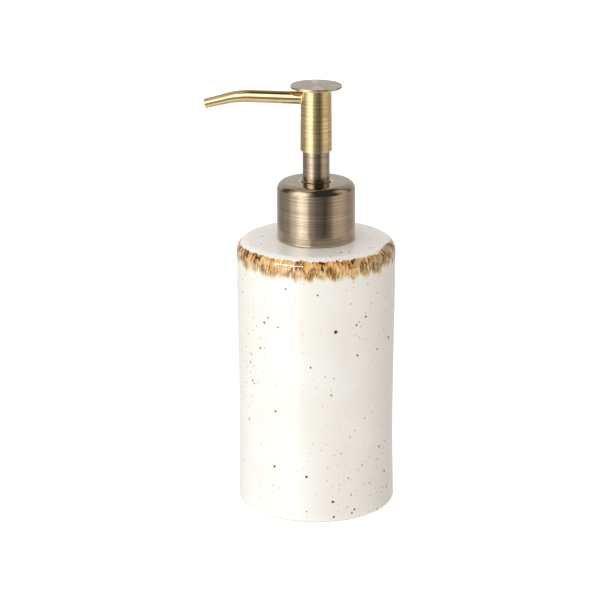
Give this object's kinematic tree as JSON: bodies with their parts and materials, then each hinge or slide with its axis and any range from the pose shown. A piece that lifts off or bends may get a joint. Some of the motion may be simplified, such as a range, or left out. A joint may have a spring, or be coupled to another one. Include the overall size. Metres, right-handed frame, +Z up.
{
  "type": "soap pump dispenser",
  "caption": "Cylindrical glazed stoneware soap bottle with an antique brass lotion pump: screw collar, sliding stem, round press disc and a slim bent spout.",
  "frame": {"origin": "centre of the bottle's flat base", "axes": "+Z up along the bottle's axis, the spout points along -X, +Y away from the front"},
  "size_m": [0.0843, 0.0706, 0.1907],
  "materials": {
    "glazed_stoneware": "glossy warm white glaze with brown specks and a dripping caramel band round the shoulder",
    "aged_brass": "brown antique brass, finely brushed round the axis, lacquered",
    "gold_brass": "yellow antique brass, finely turned, lacquered",
    "white_plastic": "moulded white plastic, satin",
    "natural_plastic": "milky natural plastic, satin",
    "dark_plastic": "black moulded plastic, satin",
    "gasket_rubber": "soft grey rubber, matte",
    "polished_steel": "bright stainless steel"
  },
  "bodies": {
    "bottle": {"ceramic_bottle": "glazed_stoneware", "threaded_neck": "white_plastic"},
    "pump_engine": {"neck_gasket": "gasket_rubber", "pump_housing": "natural_plastic", "guide_bush": "dark_plastic", "ball_cage": "white_plastic", "dip_tube": "natural_plastic", "return_spring": "polished_steel"},
    "inlet_valve": {"inlet_ball": "polished_steel"},
    "collar": {"collar_shell": "aged_brass", "threaded_closure": "white_plastic"},
    "plunger": {"stem": "white_plastic", "piston_rod": "white_plastic"},
    "piston_ring": {"piston": "natural_plastic"},
    "pump_head": {"stem_sleeve": "aged_brass", "head_insert": "white_plastic", "head_barrel": "gold_brass", "press_disc": "gold_brass", "spout_tube": "gold_brass", "spout_liner": "natural_plastic"},
    "outlet_valve": {"outlet_ball": "polished_steel"}
  },
  "joints": [
    {"name": "pump_lift", "type": "slide", "parent": "bottle", "child": "pump_engine", "axis": [0, 0, 1], "range_m": [0, 0.00423]},
    {"name": "collar_turn", "type": "hinge", "parent": "pump_engine", "child": "collar", "pos_m": [0, 0, 0.135], "axis": [0, 0, 1], "range_deg": [0, 360]},
    {"name": "press", "type": "slide", "parent": "pump_engine", "child": "plunger", "axis": [0, 0, -1], "range_m": [0, 0.013], "stiffness_N_per_m": 600, "springref_m": -0.009, "deforming": ["return_spring"]},
    {"name": "piston_slip", "type": "slide", "parent": "plunger", "child": "piston_ring", "axis": [0, 0, 1], "range_m": [0, 0.0009]},
    {"name": "head_swivel", "type": "hinge", "parent": "plunger", "child": "pump_head", "pos_m": [0, 0, 0.165], "axis": [0, 0, 1], "continuous": true},
    {"name": "inlet_ball_lift", "type": "slide", "parent": "pump_engine", "child": "inlet_valve", "axis": [0, 0, 1], "range_m": [0, 0.0024]},
    {"name": "outlet_ball_lift", "type": "slide", "parent": "pump_head", "child": "outlet_valve", "axis": [0, 0, 1], "range_m": [0, 0.0014]}
  ],
  "couplings": [
    {"joint": "pump_lift", "follows": "collar_turn", "m_per_rad": 0.00067322}
  ]
}
